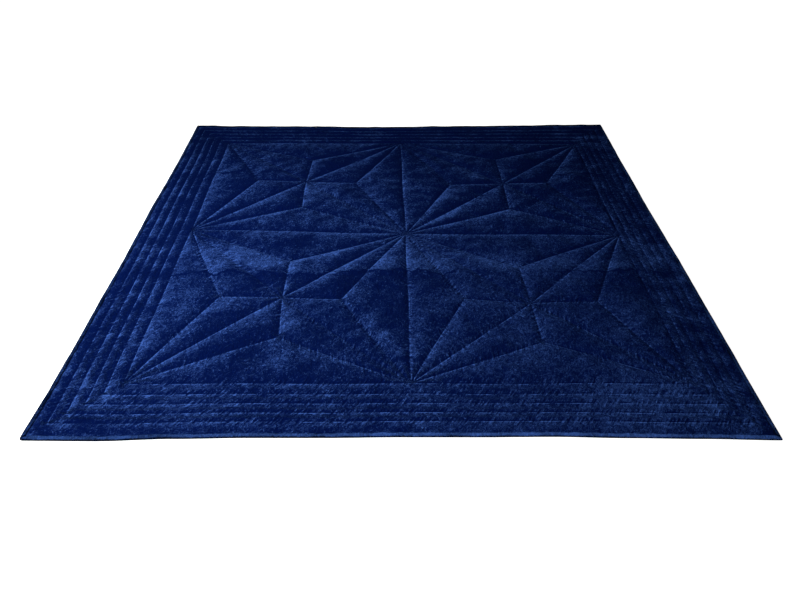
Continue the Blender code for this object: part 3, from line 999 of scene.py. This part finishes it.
def crushed_velvet(name, tips, sheen):
    """Crushed cotton velvet, a short nap crushed this way and that.

    Its tips drink the light. Where the cloth slopes towards the far left its colour is paler, and where it
    slopes
    away it is darker: painted highlight and shade by slope, in the way the key light falls.
    """
    material = bpy.data.materials.new(name)
    material.use_nodes = True
    tree = material.node_tree
    shader = tree.nodes["Principled BSDF"]
    place = add_node(tree, "TexCoord").outputs["Object"]
    # The last of these holds the velvet's tone together with painted highlight and shade.
    distance, along, offset, beyond, strength, grain, tone_and_painted_light = (
        add_node(tree, "Attribute", attribute_name=name).outputs["Fac"] for name in
        ("seam_distance", "seam_along", "seam_offset", "fold_beyond", "fold_strength", "grain", "pile_and_painted_light"))

    # The crush in clouds, and patches of pile that lie this way or that.
    crush = add_node(tree, "TexNoise", {"Vector": place, "Scale": CRUSH_SCALE, "Detail": 4.0,
                                        "Roughness": 0.8, "Distortion": 1.0})
    tufts = add_node(tree, "TexNoise", {"Vector": place, "Scale": TUFT_SCALE, "Detail": 1.0,
                                        "Roughness": 0.6, "Distortion": 1.0})

    # Short crinkles: thin lines where a noise passes its middle, broken up by the tufts.
    creases = add_node(tree, "TexNoise", {"Vector": place, "Scale": CRINKLE_SCALE, "Detail": 1.0,
                                          "Distortion": 1.0})
    creases = add_node(tree, "Math", {0: creases.outputs["Fac"], 1: 0.5}, operation="SUBTRACT")
    creases = add_node(tree, "Math", {0: creases}, operation="ABSOLUTE")
    creases = add_node(tree, "MapRange", {"Value": creases, "From Max": CRINKLE_WIDTH, **FADES})
    broken = add_node(tree, "SeparateColor", {"Color": tufts.outputs["Color"]})
    broken = add_node(tree, "MapRange", {"Value": broken.outputs["Green"], "From Min": CRINKLES_BETWEEN[0],
                                         "From Max": CRINKLES_BETWEEN[1]})
    crinkles = add_node(tree, "Math", {0: creases, 1: broken}, operation="MULTIPLY")

    # Puckers that run out from the stitches on a slant, and fade.
    slanted = add_node(tree, "Math", {0: offset, 1: PUCKER_SLANT, 2: along}, operation="MULTIPLY_ADD")
    beside = add_node(tree, "CombineXYZ", {"X": slanted, "Y": offset})
    beside = add_node(tree, "Mapping", {"Vector": beside, "Scale": PUCKER_SCALE})
    puckers = add_node(tree, "TexNoise", {"Vector": beside, "Scale": 1.0, "Detail": 2.0})
    reach = add_node(tree, "MapRange", {"Value": distance, "From Max": PUCKER_REACH, **FADES})
    puckers = add_node(tree, "Math", {0: puckers.outputs["Fac"], 1: 0.5}, operation="SUBTRACT")
    puckers = add_node(tree, "Math", {0: puckers, 1: reach}, operation="MULTIPLY")

    # The crease of the old folds, the lines beside the seams, and how high it all stands.
    # The crease also darkens the colour further down: a painted shadow along each old fold.
    crease = add_node(tree, "Math", {0: beyond}, operation="ABSOLUTE")
    crease = add_node(tree, "MapRange", {"Value": crease, "From Max": CREASE_WIDTH, **FADES})
    crease = add_node(tree, "Math", {0: crease, 1: strength}, operation="MULTIPLY")
    lines = seam_lines(tree, distance, offset)
    height = 0.0
    for name, pattern in (("crush", crush.outputs["Fac"]), ("tufts", tufts.outputs["Fac"]),
                          ("puckers", puckers), ("crease", crease)):
        height = add_node(tree, "Math", {0: pattern, 1: RELIEF[name], 2: height}, operation="MULTIPLY_ADD")
    bump = add_node(tree, "Bump", {"Height": height, "Strength": 1.0, "Distance": 1.0})
    tree.links.new(bump.outputs[0], shader.inputs["Normal"])

    # The share of the pale colour: painted highlight and shade by the slope of the cloth below and of the
    # crush on it, a painted shadow in the crease, painted highlight and shade beside the seams, and the
    # crushed velvet's own tone in each other pattern. It is squared, because few places catch the light and
    # most drink it.
    patterns = (("clouds", crush.outputs["Fac"]), ("tufts", tufts.outputs["Fac"]), ("crinkles", crinkles))
    shown = -0.5 * sum(SHOWN[name] for name, _ in patterns)
    # Painted highlight and shade on the crush: paler where its bumps face the far left, darker where they
    # face away.
    facing = add_node(tree, "VectorMath", {0: bump, 1: (*PAINTED_LIGHT_LEFT, 0.0)}, operation="DOT_PRODUCT")
    patterns += (("crush", facing.outputs["Value"]), ("crease", crease),
                 ("puckers", puckers), *lines.items())
    for name, pattern in patterns:
        shown = add_node(tree, "Math", {0: pattern, 1: SHOWN[name], 2: shown}, operation="MULTIPLY_ADD")
    tone_and_painted_light = add_node(tree, "Math", {0: tone_and_painted_light, 1: SHOWN["level"]}, operation="ADD")
    shown = add_node(tree, "Math", {0: shown, 1: grain, 2: tone_and_painted_light}, operation="MULTIPLY_ADD")
    shown = add_node(tree, "Math", {0: shown, 1: 0.0}, operation="MAXIMUM")
    shown = add_node(tree, "Math", {0: shown, 1: 2.0}, operation="POWER")
    colour = add_node(tree, "Mix", {0: shown, 6: linear(tips), 7: linear(PALE_PILE_AND_PAINTED_SHEEN)},
                      data_type="RGBA")
    tree.links.new(colour.outputs[2], shader.inputs["Base Color"])
    shader.inputs["Roughness"].default_value = 0.9
    shader.inputs["Specular IOR Level"].default_value = 0.0
    shader.inputs["Sheen Weight"].default_value = sheen
    shader.inputs["Sheen Roughness"].default_value = 0.30
    shader.inputs["Sheen Tint"].default_value = linear(SHEEN)
    return material


def painted_floor():
    """A white sweep: matt paint that also glows white, so that no shadow greys it."""
    material = bpy.data.materials.new("white_sweep")
    material.use_nodes = True
    shader = material.node_tree.nodes["Principled BSDF"]
    shader.inputs["Base Color"].default_value = linear("F4F4F4")
    shader.inputs["Roughness"].default_value = 0.9
    shader.inputs["Specular IOR Level"].default_value = 0.0
    shader.inputs["Emission Color"].default_value = linear("FFFFFF")
    shader.inputs["Emission Strength"].default_value = 1.0
    return material


# The room, the light and the camera


def make_floor():
    bpy.ops.mesh.primitive_plane_add(size=FLOOR_SIZE, location=(0, 0, 0))
    floor = bpy.context.object
    floor.name = "studio_floor"
    floor.data.materials.append(painted_floor())


def aim(thing, place, target):
    """Puts a light at a place, turned to shine on a target."""
    thing.location = place
    thing.rotation_euler = (Vector(target) - Vector(place)).to_track_quat("-Z", "Y").to_euler()


def make_light():
    """A soft key past the left edge, a soft fill to the left of the camera, and a white room."""
    for name, lit in LIGHTS.items():
        light = bpy.data.lights.new(name, "AREA")
        light.shape = "RECTANGLE"
        light.size, light.size_y = lit["size"]
        light.energy = lit["power"]
        lamp = add_object(name, light)
        aim(lamp, lit["place"], lit["target"])
        lamp.visible_camera = False
    world = bpy.data.worlds.new("room")
    bpy.context.scene.world = world
    world.use_nodes = True
    tree = world.node_tree
    seen = add_node(tree, "LightPath").outputs["Is Camera Ray"]
    strength = add_node(tree, "MapRange", {"Value": seen, "To Min": ROOM_LIGHT, "To Max": 1.0})
    tree.nodes["Background"].inputs["Color"].default_value = linear("FFFFFF")
    tree.links.new(strength.outputs[0], tree.nodes["Background"].inputs["Strength"])


def make_camera():
    camera = bpy.data.cameras.new("camera")
    camera.lens = CAMERA_LENS
    camera.sensor_width = CAMERA_SENSOR
    camera.sensor_fit = "HORIZONTAL"
    seen = add_object("camera", camera)
    seen.location = CAMERA_PLACE
    seen.rotation_euler = (math.radians(CAMERA_TILT), 0, math.radians(CAMERA_TURN))
    bpy.context.scene.camera = seen


def main():
    bpy.context.scene.view_settings.view_transform = "Standard"
    velvet, folded = (crushed_velvet(name, **look) for name, look in VELVETS.items())
    body = make_body()
    body.data.materials.append(velvet)
    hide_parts("quilted_body")
    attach(body, "root")
    for side in BINDING_ENDS:
        strip = make_binding(side)
        strip.data.materials.append(folded)
        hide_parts(f"binding_{side}")
        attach(strip, "root")
    make_floor()
    make_light()
    make_camera()


main()
